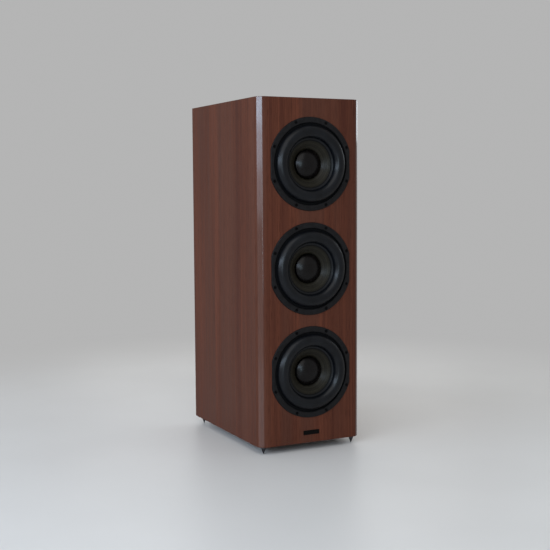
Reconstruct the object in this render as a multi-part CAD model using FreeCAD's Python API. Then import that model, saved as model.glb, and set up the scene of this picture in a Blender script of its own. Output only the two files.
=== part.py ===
import FreeCAD, Part
import math
import os

# Floorstanding speaker: a veneered cabinet with three like woofers, standing on four spikes.
# Millimetres. Origin on the floor under the middle of the whole speaker, +X to the right as
# seen from the front, +Y to the back, +Z up. The front faces -Y.
# Two depths are used below: "depth" counts backwards from the baffle's front plane, and
# "inset" counts forwards from the rear panel's outer plane.

# Cabinet
cabinet_width = 274.4
cabinet_depth = 400.0
cabinet_height = 821.0
front_edge_radius = 22.0
eased_edge = 1.0
baffle_thickness = 25.0
side_thickness = 22.0
cap_thickness = 18.0
rear_thickness = 22.0
brace_thickness = 18.0
brace_window_half_width = 80.0
brace_window_depths = (60.0, 345.0)
lining_thickness = 12.0
lining_margin = 15.0
lining_depths = (40.0, 350.0)
rear_lining_half_width = 95.0

# Spikes
floor_gap = 18.3
spike_inset = 17.0
lock_nut_height = 4.0
lock_nut_across_flats = 13.0
stud_radius = 4.0
stud_length = 13.0
spike_top_radius = 6.0
spike_tip_radius = 0.6
insert_radius = 6.0
insert_height = 15.0
running_gap = 0.05

# Woofers: heights of the centres above the cabinet's underside
driver_names = ("lower", "middle", "upper")
driver_first_height = 171.5
driver_spacing = 247.6
frame_radius = 110.0
frame_flat = 104.8
frame_proud = 2.4
frame_edge = 1.2
flange_back = 3.6
flange_inner_radius = 96.8
flange_inner_bevel = 1.0
rebate_depth = 5.0
rebate_gap = 0.4
cutout_radius = 93.0
seat_depth = 2.6
throat_radius = 87.6
throat_depth = 12.0
basket_outer_radius = 91.0
basket_shoulder_depth = 14.0
spider_seat_radius = 63.0
spider_seat_depth = 36.6
spider_seat_inner_radius = 57.5
basket_neck_radius = 66.5
basket_floor_depth = 56.0
basket_back_depth = 60.0
basket_floor_hole = 30.0
spoke_count = 6
upper_window_angle = 42.0
upper_window_depths = (15.0, 34.0)
lower_window_angle = 34.0
lower_window_depths = (41.0, 54.0)
boss_half_width = 16.0
boss_depths = (42.0, 58.0)
boss_drop = 72.0
boss_bite = 5.4

# Frame screws
screw_count = 8
screw_circle_radius = 104.0
screw_first_angle = 22.5
screw_head_radius = 3.8
screw_head_sink = 0.4
counterbore_radius = 4.2
counterbore_depth = 3.2
screw_shank_radius = 2.0
screw_end_depth = 23.0
screw_key_size = 3.0
screw_key_depth = 1.8
screw_hole_play = 0.3
gasket_margin = 0.6
thread_gap = 0.05

# Moving part of a woofer
roll_centre_radius = 76.0
roll_radius = 15.0
roll_wall = 1.2
roll_base_depth = 0.2
surround_outer_radius = 96.4
surround_lip_inner_radius = 55.5
surround_lip_wall = 0.85
surround_rim_wall = 1.0
glue_gap = 0.05
cone_outer_radius = 60.6
cone_edge_depth = 1.2
cone_edge_slope = 22.0
cone_throat_radius = 35.5
cone_throat_slope = 37.0
cone_wall = 1.0
groove_outer_radius = 34.4
groove_inner_radius = 31.8
groove_depth = 19.6
neck_depth = 23.3
neck_end_depth = 30.0
cap_radius = 33.0
cap_height = 12.2
cap_base_depth = 12.0
cap_rim_depth = 19.08
cap_wall = 0.9
former_outer_radius = 25.8
former_wall = 0.4
former_depths = (21.0, 77.0)
winding_radius = 27.2
winding_depths = (53.0, 75.0)

# Spider
spider_outer_radius = 62.0
spider_wave_start = 29.0
spider_wave_length = 7.0
spider_wave_count = 4
spider_wave_steps = 3
spider_wave_height = 2.0
spider_wall = 0.6

# Motor
top_plate_radius = 66.0
top_plate_bore = 27.9
top_plate_thickness = 8.0
magnet_radius = 70.0
magnet_bore = 32.0
magnet_thickness = 20.0
pole_radius = 24.8
pole_vent_radius = 8.0
back_plate_thickness = 8.0

# Terminals on each woofer
strip_thickness = 2.0
blade_spacing = 12.0
blade_width = 4.8
blade_thickness = 0.8
blade_depths = (46.0, 66.0)

# Bare badge plate on the baffle
badge_width = 43.0
badge_height = 11.0
badge_centre_height = 24.7
badge_corner = 1.0
badge_thickness = 1.6
badge_recess = 0.8

# Reflex port in the rear panel
port_height = 690.0
port_radius = 36.0
port_wall = 3.0
port_flare = 12.0
port_flange_radius = 56.0
port_flange_thickness = 3.0
port_collar_radius = 43.5
port_collar_length = 7.0
port_shoulder_length = 12.0
port_length = 150.0

# Terminal cup in the rear panel
cup_height = 120.0
cup_flange_half = (61.0, 51.0)
cup_opening_half = (46.0, 36.0)
cup_wall = 3.0
cup_flange_thickness = 3.0
cup_floor_inset = 30.0
cup_corner = 8.0
cup_screw_half = (54.5, 44.5)

# Binding posts
post_spacing = 38.0
post_radius = 3.6
post_end_inset = 5.5
post_tail_inset = 46.0
socket_radius = 2.1
socket_length = 13.0
wire_hole_radius = 1.9
wire_hole_inset = 21.0
insulator_radius = 8.5
insulator_chamfer = 1.0
insulator_face_inset = 24.0
spigot_radius = 5.0
washer_radius = 7.4
washer_thickness = 1.4
knob_radius = 8.5
knob_outer_inset = 4.0
knob_chamfer = 0.8
flute_count = 12
flute_radius = 1.2
flute_offset = 0.4
part_gap = 0.1
post_nut_across_flats = 11.0
post_nut_height = 5.0

# Wood screws of the cup and of the crossover board
wood_head_radius = 3.4
wood_head_height = 2.0
wood_shank_radius = 1.6
wood_length = 16.0

# Crossover on the bottom panel
board_half_width = 80.0
board_depths = (210.0, 340.0)
board_thickness = 9.0
board_screw_edge = 8.0
coil_spread = 52.0
coil_depth = 308.0
coil_radius = 25.0
coil_flange_radius = 26.0
coil_core_radius = 10.0
coil_flange_thickness = 2.0
coil_height = 26.0
capacitor_depth = 262.0
capacitor_spread = 50.0
capacitor_radius = 11.0
capacitor_length = 40.0
capacitor_count = 3

# Wires
wire_radius = 1.4
wire_bend_radius = 45.0
wire_bend_share = 0.9
input_bend_radius = 14.0
wire_first_depth = 220.0
wire_depth_step = 8.0
input_wire_depth = 320.0

# Lengths below this count as nothing when edges are picked
tiny = 1e-6

# Derived places
crest_proud = roll_radius - roll_base_depth
front_y = (crest_proud - cabinet_depth - port_flange_thickness) / 2
rear_y = front_y + cabinet_depth
half_width = cabinet_width / 2
inner_half_width = half_width - side_thickness
base_z = floor_gap
top_z = floor_gap + cabinet_height
inner_bottom_z = base_z + cap_thickness
inner_top_z = top_z - cap_thickness
rear_panel_depth = cabinet_depth - rear_thickness
driver_heights = [base_z + driver_first_height + driver_spacing * i for i in range(3)]
brace_heights = [(driver_heights[i] + driver_heights[i + 1]) / 2 for i in range(2)]
front_lift = -frame_proud
knob_inner_inset = insulator_face_inset - washer_thickness - 2 * part_gap


def vec(x, y, z):
    return FreeCAD.Vector(x, y, z)


def save(node, shape):
    if len(shape.Solids) == 1:
        shape = shape.Solids[0]
    if not shape.isValid() or shape.Volume <= 0:
        raise RuntimeError("bad shape: " + node)
    shape.exportStep("parts/" + node + ".step")
    print(node, len(shape.Solids), round(shape.Volume / 1000, 2), "cm3")


def upright(solid):
    # A revolved profile can come out inside out, with a negative volume.
    if solid.Volume < 0:
        solid.reverse()
    return solid


def block(x_range, depth_range, z_range):
    size = (x_range[1] - x_range[0], depth_range[1] - depth_range[0], z_range[1] - z_range[0])
    return Part.makeBox(*size, vec(x_range[0], front_y + depth_range[0], z_range[0]))


def symmetric_block(half, depth_range, z_range):
    return block((-half, half), depth_range, z_range)


def upright_cylinder(radius, x, depth, z_range):
    return Part.makeCylinder(radius, z_range[1] - z_range[0], vec(x, front_y + depth, z_range[0]))


def cylinder_along_depth(radius, x, z, depth_range):
    start = vec(x, front_y + depth_range[0], z)
    return Part.makeCylinder(radius, depth_range[1] - depth_range[0], start, vec(0, 1, 0))


def line(start, end):
    return Part.makeLine(vec(*start, 0), vec(*end, 0))


def arc(start, middle, end):
    return Part.Arc(vec(*start, 0), vec(*middle, 0), vec(*end, 0)).toShape()


def polyline(points):
    return [line(start, end) for start, end in zip(points, points[1:])]


def turned(edges, place):
    # A closed profile of (radius, distance along +Y) turned about +Y, then moved to its place.
    face = Part.Face(Part.Wire(edges))
    solid = upright(face.revolve(vec(0, 0, 0), vec(0, 1, 0), 360))
    solid.translate(place)
    return solid


def turned_points(points, place):
    return turned(polyline(points + points[:1]), place)


def ring(inner, outer, depth_range, place):
    corners = [(inner, depth_range[0]), (outer, depth_range[0])]
    corners += [(outer, depth_range[1]), (inner, depth_range[1])]
    return turned_points(corners, place)


def hexagon(across_flats, centre, axis, height):
    radius = across_flats / math.sqrt(3)
    side = vec(1, 0, 0)
    other = axis.cross(side)
    corners = []
    for index in range(7):
        turn = math.radians(60 * index)
        corners.append(centre + side * (radius * math.cos(turn)) + other * (radius * math.sin(turn)))
    return Part.Face(Part.makePolygon(corners)).extrude(axis * height)


def rounded_block(half_sizes, corner, centre_x, centre_z, depth_range):
    x_range = (centre_x - half_sizes[0], centre_x + half_sizes[0])
    z_range = (centre_z - half_sizes[1], centre_z + half_sizes[1])
    solid = block(x_range, depth_range, z_range)
    long_edges = [e for e in solid.Edges if e.BoundBox.YLength > tiny]
    return solid.makeFillet(corner, long_edges)


def rotated_copies(solid, count, first_angle, place):
    axis = vec(0, 1, 0)
    angles = [first_angle + 360 / count * i for i in range(count)]
    return [solid.rotated(place, axis, angle) for angle in angles]


def driver_place(index):
    return vec(0, front_y, driver_heights[index])


def round_front_corners(board):
    upright_edges = [e for e in board.Edges if e.BoundBox.ZLength > tiny and e.BoundBox.YLength < tiny]
    front_corners = [e for e in upright_edges if abs(e.BoundBox.YMin - front_y) < tiny]
    front_corners = [e for e in front_corners if e.BoundBox.XLength < tiny]
    return board.makeFillet(front_edge_radius, front_corners)


def footprint_panel(z_range, eased_z):
    # A board over the whole footprint: round front corners, and an eased outer rim.
    panel = round_front_corners(symmetric_block(half_width, (0, cabinet_depth), z_range))
    level_edges = [e for e in panel.Edges if e.BoundBox.ZLength < tiny]
    rim = [e for e in level_edges if abs(e.BoundBox.ZMin - eased_z) < tiny]
    return panel.makeFillet(eased_edge, rim)


def make_top_panel():
    return footprint_panel((inner_top_z, top_z), top_z)


def spike_places():
    x = half_width - spike_inset
    depths = {"front": spike_inset, "rear": cabinet_depth - spike_inset}
    return {
        end + "_" + side: (sign * x, depth)
        for end, depth in depths.items()
        for side, sign in (("left", -1), ("right", 1))
    }


def board_screw_places():
    xs = (-board_half_width + board_screw_edge, board_half_width - board_screw_edge)
    depths = (board_depths[0] + board_screw_edge, board_depths[1] - board_screw_edge)
    return [(x, depth) for x in xs for depth in depths]


def make_bottom_panel():
    panel = footprint_panel((base_z, inner_bottom_z), base_z)
    for x, depth in spike_places().values():
        panel = panel.cut(upright_cylinder(insert_radius, x, depth, (base_z, base_z + insert_height)))
    for x, depth in board_screw_places():
        pilot_bottom = inner_bottom_z + board_thickness - wood_length
        pilot = upright_cylinder(wood_shank_radius + thread_gap, x, depth, (pilot_bottom, inner_bottom_z))
        panel = panel.cut(pilot)
    return panel


def make_side_panel(sign):
    x_range = sorted((sign * inner_half_width, sign * half_width))
    return block(x_range, (baffle_thickness, cabinet_depth), (inner_bottom_z, inner_top_z))


def truncated_disc(radius, flat, depth_range, place):
    # A disc cut straight at its left and right sides.
    rise = math.sqrt(radius ** 2 - flat ** 2)
    start = place + vec(0, depth_range[0], 0)
    signs = ((-1, 1), (1, 1), (1, -1), (-1, -1))
    corners = [start + vec(sign_x * flat, 0, sign_z * rise) for sign_x, sign_z in signs]
    outline = Part.Wire([
        Part.Arc(corners[0], start + vec(0, 0, radius), corners[1]).toShape(),
        Part.makeLine(corners[1], corners[2]),
        Part.Arc(corners[2], start + vec(0, 0, -radius), corners[3]).toShape(),
        Part.makeLine(corners[3], corners[0]),
    ])
    return upright(Part.Face(outline).extrude(vec(0, depth_range[1] - depth_range[0], 0)))


def screw_axis_cylinder(radius, depth_range, place):
    start = place + vec(screw_circle_radius, depth_range[0], 0)
    return Part.makeCylinder(radius, depth_range[1] - depth_range[0], start, vec(0, 1, 0))


def screw_cylinders(radius, depth_range, place):
    first = screw_axis_cylinder(radius, depth_range, place)
    return rotated_copies(first, screw_count, screw_first_angle, place)


def make_front_baffle():
    board = symmetric_block(half_width, (0, baffle_thickness), (inner_bottom_z, inner_top_z))
    baffle = round_front_corners(board)
    for index in range(3):
        place = driver_place(index)
        rebate_sizes = (frame_radius + rebate_gap, frame_flat + rebate_gap)
        rebate = truncated_disc(*rebate_sizes, (0, rebate_depth), place)
        hole = Part.makeCylinder(cutout_radius, baffle_thickness, place, vec(0, 1, 0))
        pilot_depths = (rebate_depth, screw_end_depth)
        pilots = screw_cylinders(screw_shank_radius + thread_gap, pilot_depths, place)
        baffle = baffle.cut([rebate, hole] + pilots)
    badge_half = (badge_width / 2, badge_height / 2)
    recess = rounded_block(badge_half, badge_corner, 0, base_z + badge_centre_height, (0, badge_recess))
    return baffle.cut(recess)


def make_badge_plate():
    badge_half = (badge_width / 2 - part_gap, badge_height / 2 - part_gap)
    depths = (badge_recess - badge_thickness, badge_recess)
    return rounded_block(badge_half, badge_corner, 0, base_z + badge_centre_height, depths)


def cup_screw_places():
    return [
        (sx * cup_screw_half[0], base_z + cup_height + sz * cup_screw_half[1])
        for sx in (-1, 1)
        for sz in (-1, 1)
    ]


def make_rear_panel():
    depths = (rear_panel_depth, cabinet_depth)
    panel = symmetric_block(inner_half_width, depths, (inner_bottom_z, inner_top_z))
    port_hole_radius = port_collar_radius + part_gap
    port_hole = cylinder_along_depth(port_hole_radius, 0, base_z + port_height, depths)
    cup_half = [half + cup_wall + part_gap for half in cup_opening_half]
    cup_hole = rounded_block(cup_half, cup_corner, 0, base_z + cup_height, depths)
    pilot_radius = wood_shank_radius + thread_gap
    pilot_depths = (cabinet_depth - wood_length + cup_flange_thickness, cabinet_depth)
    pilots = [cylinder_along_depth(pilot_radius, x, z, pilot_depths) for x, z in cup_screw_places()]
    return panel.cut([port_hole, cup_hole] + pilots)


def make_shelf_brace(height):
    z_range = (height - brace_thickness / 2, height + brace_thickness / 2)
    board = symmetric_block(inner_half_width, (baffle_thickness, rear_panel_depth), z_range)
    window = symmetric_block(brace_window_half_width, brace_window_depths, z_range)
    return board.cut(window)


def make_damping_lining():
    # Felt pads on the side walls of the three chambers, and one behind the middle woofer.
    edges = [inner_bottom_z]
    for height in brace_heights:
        edges += [height - brace_thickness / 2, height + brace_thickness / 2]
    edges.append(inner_top_z)
    chambers = [(edges[i] + lining_margin, edges[i + 1] - lining_margin) for i in (0, 2, 4)]
    pads = []
    for z_range in chambers:
        for sign in (-1, 1):
            x_range = sorted((sign * (inner_half_width - lining_thickness), sign * inner_half_width))
            pads.append(block(x_range, lining_depths, z_range))
    rear_depths = (rear_panel_depth - lining_thickness, rear_panel_depth)
    pads.append(symmetric_block(rear_lining_half_width, rear_depths, chambers[1]))
    return Part.makeCompound(pads)


def basket_sector(angle, depth_range):
    # A pie slice around the woofer's axis, centred on +Z.
    slice_height = depth_range[1] - depth_range[0]
    sector = Part.makeCylinder(
        frame_radius, slice_height, vec(0, depth_range[0], 0), vec(0, 1, 0), angle
    )
    return sector.rotated(vec(0, 0, 0), vec(0, 1, 0), -angle / 2)


def make_flange():
    # The visible ring of the frame, with a rounded outer edge and flats left and right.
    flange = truncated_disc(frame_radius, frame_flat, (front_lift, flange_back), vec(0, 0, 0))
    rim = [e for e in flange.Edges if abs(e.BoundBox.YMax - front_lift) < 1e-6]
    flange = flange.makeFillet(frame_edge, rim)
    bevelled = front_lift + flange_inner_bevel
    bore = [
        (0, front_lift),
        (flange_inner_radius + flange_inner_bevel, front_lift),
        (flange_inner_radius, bevelled),
        (flange_inner_radius, flange_back),
        (0, flange_back),
    ]
    return flange.cut(turned_points(bore, vec(0, 0, 0)))


def make_basket():
    # Seat for the surround, a coned wall with windows, a seat for the spider, the back ring.
    profile = [
        (flange_inner_radius, seat_depth),
        (throat_radius, seat_depth),
        (throat_radius, throat_depth),
        (spider_seat_radius, upper_window_depths[1]),
        (spider_seat_radius, spider_seat_depth),
        (spider_seat_inner_radius, spider_seat_depth),
        (spider_seat_inner_radius, basket_floor_depth),
        (basket_floor_hole, basket_floor_depth),
        (basket_floor_hole, basket_back_depth),
        (basket_neck_radius, basket_back_depth),
        (basket_neck_radius, spider_seat_depth),
        (basket_outer_radius, basket_shoulder_depth),
        (basket_outer_radius, flange_back),
        (flange_inner_radius, flange_back),
    ]
    origin = vec(0, 0, 0)
    basket = turned_points(profile, origin)
    boss = Part.makeBox(
        2 * boss_half_width,
        boss_depths[1] - boss_depths[0],
        boss_drop - basket_neck_radius + boss_bite,
        vec(-boss_half_width, boss_depths[0], -boss_drop),
    )
    upper = basket_sector(upper_window_angle, upper_window_depths)
    lower = basket_sector(lower_window_angle, lower_window_depths)
    first_window = 180 / spoke_count
    windows = rotated_copies(upper, spoke_count, first_window, origin)
    windows += rotated_copies(lower, spoke_count, first_window, origin)
    return basket.cut(windows).fuse(boss)


def make_driver_frame():
    origin = vec(0, 0, 0)
    frame = make_basket().fuse(make_flange()).removeSplitter()
    holes = screw_cylinders(screw_shank_radius + screw_hole_play, (front_lift, flange_back), origin)
    holes += screw_cylinders(counterbore_radius, (front_lift, front_lift + counterbore_depth), origin)
    return frame.cut(holes)


def make_frame_gasket():
    origin = vec(0, 0, 0)
    depths = (flange_back, rebate_depth)
    outline = truncated_disc(frame_radius - gasket_margin, frame_flat - gasket_margin, depths, origin)
    middle = Part.makeCylinder(cutout_radius, depths[1] - depths[0], vec(0, depths[0], 0), vec(0, 1, 0))
    return outline.cut([middle] + screw_cylinders(screw_shank_radius + gasket_margin, depths, origin))


def make_frame_screws():
    origin = vec(0, 0, 0)
    head_depths = (front_lift + screw_head_sink, front_lift + counterbore_depth)
    head = screw_axis_cylinder(screw_head_radius, head_depths, origin)
    shank = screw_axis_cylinder(screw_shank_radius, (head_depths[1], screw_end_depth), origin)
    key_start = vec(screw_circle_radius, head_depths[0], 0)
    key = hexagon(screw_key_size, key_start, vec(0, 1, 0), screw_key_depth)
    screw = head.fuse(shank).removeSplitter().cut(key)
    return rotated_copies(screw, screw_count, screw_first_angle, origin)


def cone_curve():
    # The cone's face follows a circle and gets steeper towards the throat.
    edge = math.radians(cone_edge_slope)
    throat = math.radians(cone_throat_slope)
    radius = (cone_outer_radius - cone_throat_radius) / (math.sin(throat) - math.sin(edge))
    centre = (cone_outer_radius + radius * math.sin(edge), cone_edge_depth + radius * math.cos(edge))
    return centre, radius


def cone_point(slope, lift):
    # The place where the face slopes by this many degrees, lifted off it towards the front.
    centre, radius = cone_curve()
    reach = radius + lift
    turn = math.radians(slope)
    return (centre[0] - reach * math.sin(turn), centre[1] - reach * math.cos(turn))


def cone_arc(slopes, lift):
    middle = sum(slopes) / 2
    return arc(cone_point(slopes[0], lift), cone_point(middle, lift), cone_point(slopes[1], lift))


def cone_slope_at(face_radius):
    centre, radius = cone_curve()
    return math.degrees(math.asin((centre[0] - face_radius) / radius))


def make_surround():
    # Half-roll rubber edge: outer lip sunk on the frame's seat, inner lip over the cone's edge.
    inner_roll = roll_radius - roll_wall
    left = roll_centre_radius - roll_radius
    right = roll_centre_radius + roll_radius
    lip_slope = cone_slope_at(surround_lip_inner_radius)
    lip_back = cone_point(lip_slope, glue_gap)
    lip_front = cone_point(lip_slope, glue_gap + surround_lip_wall)
    edge_back = cone_point(cone_edge_slope, glue_gap)
    rim_front = seat_depth - surround_rim_wall
    edges = polyline([
        (surround_outer_radius, seat_depth),
        (surround_outer_radius, rim_front),
        (right, rim_front),
        (right, roll_base_depth),
    ])
    edges.append(arc(
        (right, roll_base_depth),
        (roll_centre_radius, roll_base_depth - roll_radius),
        (left, roll_base_depth),
    ))
    edges += polyline([(left, roll_base_depth), lip_front, lip_back])
    edges.append(cone_arc((lip_slope, cone_edge_slope), glue_gap))
    edges += polyline([
        edge_back,
        (left + roll_wall, edge_back[1]),
        (left + roll_wall, roll_base_depth),
    ])
    edges.append(arc(
        (left + roll_wall, roll_base_depth),
        (roll_centre_radius, roll_base_depth - inner_roll),
        (right - roll_wall, roll_base_depth),
    ))
    edges += polyline([
        (right - roll_wall, roll_base_depth),
        (right - roll_wall, seat_depth),
        (surround_outer_radius, seat_depth),
    ])
    return turned(edges, vec(0, 0, 0))


def make_cone():
    # Curved cone, a sharp groove round the cap, then a neck glued to the coil former.
    slopes = (cone_edge_slope, cone_throat_slope)
    edges = [cone_arc(slopes, 0)]
    edges += polyline([
        cone_point(cone_throat_slope, 0),
        (groove_outer_radius, groove_depth - cone_wall),
        (groove_inner_radius, groove_depth),
        (former_outer_radius, neck_depth),
        (former_outer_radius, neck_end_depth),
        (former_outer_radius + cone_wall, neck_end_depth),
        (former_outer_radius + cone_wall, neck_depth + cone_wall),
        (groove_inner_radius + cone_wall / 2, groove_depth + cone_wall),
        (groove_outer_radius + cone_wall, groove_depth),
        cone_point(cone_throat_slope, -cone_wall),
    ])
    edges.append(cone_arc(slopes[::-1], -cone_wall))
    edges.append(line(cone_point(cone_edge_slope, -cone_wall), cone_point(cone_edge_slope, 0)))
    return turned(edges, vec(0, 0, 0))


def dome_arc(radius, height):
    # Part of a circle from the apex on the axis to the rim of the dome.
    apex = cap_base_depth - height
    curve_radius = (radius ** 2 + height ** 2) / (2 * height)
    half_angle = math.asin(radius / curve_radius) / 2
    middle_sag = curve_radius * (1 - math.cos(half_angle))
    middle = (curve_radius * math.sin(half_angle), apex + middle_sag)
    return arc((0, apex), middle, (radius, cap_base_depth))


def make_dust_cap():
    inner_radius = cap_radius - cap_wall
    inner_height = cap_height - cap_wall
    edges = [dome_arc(cap_radius, cap_height)]
    edges += polyline([
        (cap_radius, cap_base_depth),
        (cap_radius, cap_rim_depth),
        (inner_radius, cap_rim_depth),
        (inner_radius, cap_base_depth),
    ])
    edges.append(dome_arc(inner_radius, inner_height))
    edges.append(line((0, cap_base_depth - inner_height), (0, cap_base_depth - cap_height)))
    return turned(edges, vec(0, 0, 0))


def make_voice_coil():
    inner = former_outer_radius - former_wall
    profile = [
        (inner, former_depths[0]),
        (former_outer_radius, former_depths[0]),
        (former_outer_radius, winding_depths[0]),
        (winding_radius, winding_depths[0]),
        (winding_radius, winding_depths[1]),
        (former_outer_radius, winding_depths[1]),
        (former_outer_radius, former_depths[1]),
        (inner, former_depths[1]),
    ]
    return turned_points(profile, vec(0, 0, 0))


def wave_points(shift):
    # Corrugations in short straight steps along a sine, at one face of the spider.
    points = []
    for index in range(2 * spider_wave_steps * spider_wave_count + 1):
        share = index / (2 * spider_wave_steps)
        radius = spider_wave_start + spider_wave_length * share
        points.append((radius, shift - spider_wave_height * math.sin(2 * math.pi * share)))
    return points


def make_spider():
    inner = former_outer_radius + glue_gap
    back = spider_seat_depth
    front = back - spider_wall
    profile = [(inner, front)] + wave_points(front) + [(spider_outer_radius, front)]
    profile += [(spider_outer_radius, back)] + wave_points(back)[::-1] + [(inner, back)]
    return turned_points(profile, vec(0, 0, 0))


def make_top_plate():
    depths = (basket_back_depth, basket_back_depth + top_plate_thickness)
    return ring(top_plate_bore, top_plate_radius, depths, vec(0, 0, 0))


def make_magnet():
    start = basket_back_depth + top_plate_thickness
    return ring(magnet_bore, magnet_radius, (start, start + magnet_thickness), vec(0, 0, 0))


def make_pole_plate():
    plate_front = basket_back_depth + top_plate_thickness + magnet_thickness
    plate_back = plate_front + back_plate_thickness
    profile = [
        (pole_vent_radius, basket_back_depth),
        (pole_radius, basket_back_depth),
        (pole_radius, plate_front),
        (top_plate_radius, plate_front),
        (top_plate_radius, plate_back),
        (pole_vent_radius, plate_back),
    ]
    return turned_points(profile, vec(0, 0, 0))


def make_driver_terminals():
    strip = Part.makeBox(
        2 * boss_half_width,
        boss_depths[1] - boss_depths[0],
        strip_thickness,
        vec(-boss_half_width, boss_depths[0], -boss_drop - strip_thickness),
    )
    solids = [strip]
    for sign in (-1, 1):
        corner = vec(
            sign * blade_spacing / 2 - blade_width / 2,
            blade_depths[0],
            -boss_drop - strip_thickness - blade_thickness,
        )
        blade_length = blade_depths[1] - blade_depths[0]
        solids.append(Part.makeBox(blade_width, blade_length, blade_thickness, corner))
    return solids


def at_driver(shape, index):
    copy = shape.copy()
    copy.translate(driver_place(index))
    return copy


def make_port_tube():
    outer = port_radius + port_wall
    centre = port_radius + port_flare
    flare_end = port_flare - port_flange_thickness
    diagonal = port_flare * math.sqrt(0.5)
    edges = polyline([
        (port_flange_radius, 0),
        (port_collar_radius, 0),
        (port_collar_radius, port_collar_length),
        (outer, port_shoulder_length),
        (outer, port_length),
        (port_radius, port_length),
        (port_radius, flare_end),
    ])
    edges.append(arc(
        (port_radius, flare_end),
        (centre - diagonal, flare_end - diagonal),
        (centre, -port_flange_thickness),
    ))
    edges += polyline([
        (centre, -port_flange_thickness),
        (port_flange_radius - port_flange_thickness / 2, -port_flange_thickness),
        (port_flange_radius, -port_flange_thickness / 2),
        (port_flange_radius, 0),
    ])
    tube = turned(edges, vec(0, 0, 0)).rotated(vec(0, 0, 0), vec(1, 0, 0), 180)
    tube.translate(vec(0, rear_y, base_z + port_height))
    return tube


def post_x(sign):
    return sign * post_spacing / 2


def make_terminal_cup():
    centre_z = base_z + cup_height
    body_half = [half + cup_wall for half in cup_opening_half]
    outer_depth = cabinet_depth + cup_flange_thickness
    floor_depth = cabinet_depth - cup_floor_inset
    flange = rounded_block(cup_flange_half, cup_corner, 0, centre_z, (cabinet_depth, outer_depth))
    body_depths = (floor_depth - cup_wall, outer_depth)
    body = rounded_block(body_half, cup_corner, 0, centre_z, body_depths)
    hollow_corner = cup_corner - cup_wall
    hollow = rounded_block(cup_opening_half, hollow_corner, 0, centre_z, (floor_depth, outer_depth))
    hole_radius = spigot_radius + part_gap
    holes = [cylinder_along_depth(hole_radius, post_x(sign), centre_z, body_depths) for sign in (-1, 1)]
    sinks = [cup_screw(x, z, thread_gap) for x, z in cup_screw_places()]
    return flange.fuse(body).removeSplitter().cut([hollow] + holes + sinks)


def wood_screw_profile(gap):
    # Countersunk head at the start, then the shank, along +Y.
    head = wood_head_radius + gap
    shank = wood_shank_radius + gap
    return [(0, 0), (head, 0), (shank, wood_head_height), (shank, wood_length), (0, wood_length)]


def wood_screw(gap, place, tilt):
    origin = vec(0, 0, 0)
    screw = turned_points(wood_screw_profile(gap), origin).rotated(origin, vec(1, 0, 0), tilt)
    screw.translate(place)
    return screw


def cup_screw(x, z, gap):
    return wood_screw(gap, vec(x, rear_y + cup_flange_thickness, z), 180)


def board_screw(x, depth, gap):
    place = vec(x, front_y + depth, inner_bottom_z + board_thickness)
    return wood_screw(gap, place, -90)


def make_wood_screws():
    screws = [cup_screw(x, z, 0) for x, z in cup_screw_places()]
    screws += [board_screw(x, depth, 0) for x, depth in board_screw_places()]
    return Part.makeCompound(screws)


def post_part(profile, sign):
    # Turned about the post's axis; the profile counts insets from the rear panel's plane.
    solid = turned_points(profile, vec(0, 0, 0)).rotated(vec(0, 0, 0), vec(0, 0, 1), 180)
    solid.translate(vec(post_x(sign), rear_y, base_z + cup_height))
    return solid


def make_binding_posts():
    posts = []
    for sign in (-1, 1):
        profile = [
            (socket_radius, post_end_inset),
            (post_radius, post_end_inset),
            (post_radius, post_tail_inset),
            (0, post_tail_inset),
            (0, post_end_inset + socket_length),
            (socket_radius, post_end_inset + socket_length),
        ]
        post = post_part(profile, sign)
        top = base_z + cup_height + post_radius
        wire_hole = upright_cylinder(
            wire_hole_radius, post_x(sign), cabinet_depth - wire_hole_inset, (top - 2 * post_radius, top)
        )
        posts.append(post.cut(wire_hole))
    return Part.makeCompound(posts)


def make_post_insulators():
    profile = [
        (post_radius, insulator_face_inset),
        (insulator_radius - insulator_chamfer, insulator_face_inset),
        (insulator_radius, insulator_face_inset + insulator_chamfer),
        (insulator_radius, cup_floor_inset),
        (spigot_radius, cup_floor_inset),
        (spigot_radius, cup_floor_inset + cup_wall),
        (post_radius, cup_floor_inset + cup_wall),
    ]
    return Part.makeCompound([post_part(profile, sign) for sign in (-1, 1)])


def make_post_nuts():
    start = vec(0, rear_y - cup_floor_inset - cup_wall, base_z + cup_height)
    nuts = []
    for sign in (-1, 1):
        centre = start + vec(post_x(sign), 0, 0)
        nut = hexagon(post_nut_across_flats, centre, vec(0, -1, 0), post_nut_height)
        nuts.append(nut.cut(Part.makeCylinder(post_radius, post_nut_height, centre, vec(0, -1, 0))))
    return Part.makeCompound(nuts)


def make_clamp_washer(sign):
    back = insulator_face_inset - part_gap
    bore = post_radius + running_gap
    profile = [
        (bore, back - washer_thickness),
        (washer_radius, back - washer_thickness),
        (washer_radius, back),
        (bore, back),
    ]
    return post_part(profile, sign)


def make_post_knob(sign):
    bore = post_radius + running_gap
    profile = [
        (bore, knob_outer_inset),
        (knob_radius - knob_chamfer, knob_outer_inset),
        (knob_radius, knob_outer_inset + knob_chamfer),
        (knob_radius, knob_inner_inset),
        (bore, knob_inner_inset),
    ]
    knob = post_part(profile, sign)
    centre = vec(post_x(sign), rear_y - knob_inner_inset, base_z + cup_height)
    flute_start = centre + vec(knob_radius + flute_offset, 0, 0)
    flute_length = knob_inner_inset - knob_outer_inset
    flute = Part.makeCylinder(flute_radius, flute_length, flute_start, vec(0, 1, 0))
    return knob.cut(rotated_copies(flute, flute_count, 0, centre))


def make_crossover_board():
    z_range = (inner_bottom_z, inner_bottom_z + board_thickness)
    board = symmetric_block(board_half_width, board_depths, z_range)
    return board.cut([board_screw(x, depth, thread_gap) for x, depth in board_screw_places()])


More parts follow.
